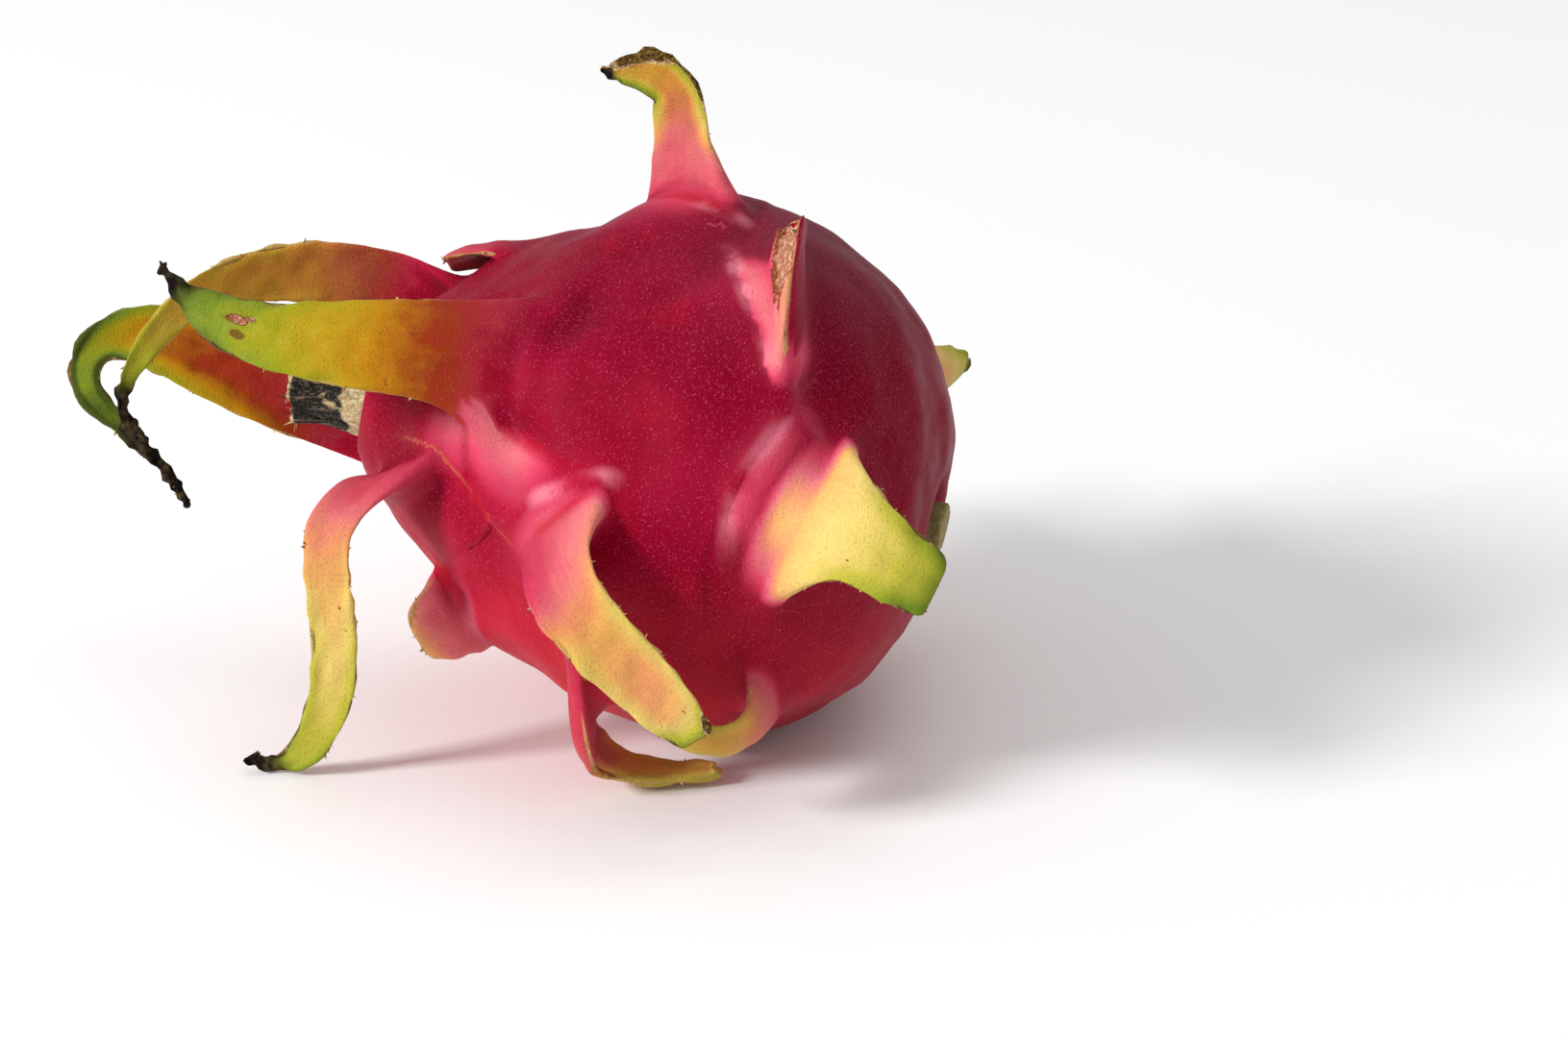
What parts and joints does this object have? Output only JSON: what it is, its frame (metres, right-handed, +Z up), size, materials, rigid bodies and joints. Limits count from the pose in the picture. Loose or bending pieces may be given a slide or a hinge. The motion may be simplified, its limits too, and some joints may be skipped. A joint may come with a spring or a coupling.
{
  "type": "dragon fruit",
  "caption": "Ripe dragon fruit lying on its side: a rounded crimson fruit with leafy green-tipped bracts growing out of its skin, and a dried flower foot at its nose.",
  "frame": {"origin": "centre of the bounding box's bottom face, on the surface that the fruit lies on", "axes": "+X along the fruit from its nose to its stem end, +Y to its far side, +Z up"},
  "size_m": [0.1656, 0.1312, 0.1139],
  "materials": {
    "skin": "satin, waxy, with fine pale specks",
    "dried_flower": "dry and fibrous",
    "cut_stem": "dry, rough"
  },
  "bodies": {
    "root": {"fruit": "skin", "flower_stub": "dried_flower", "stem_stub": "cut_stem"}
  },
  "joints": []
}
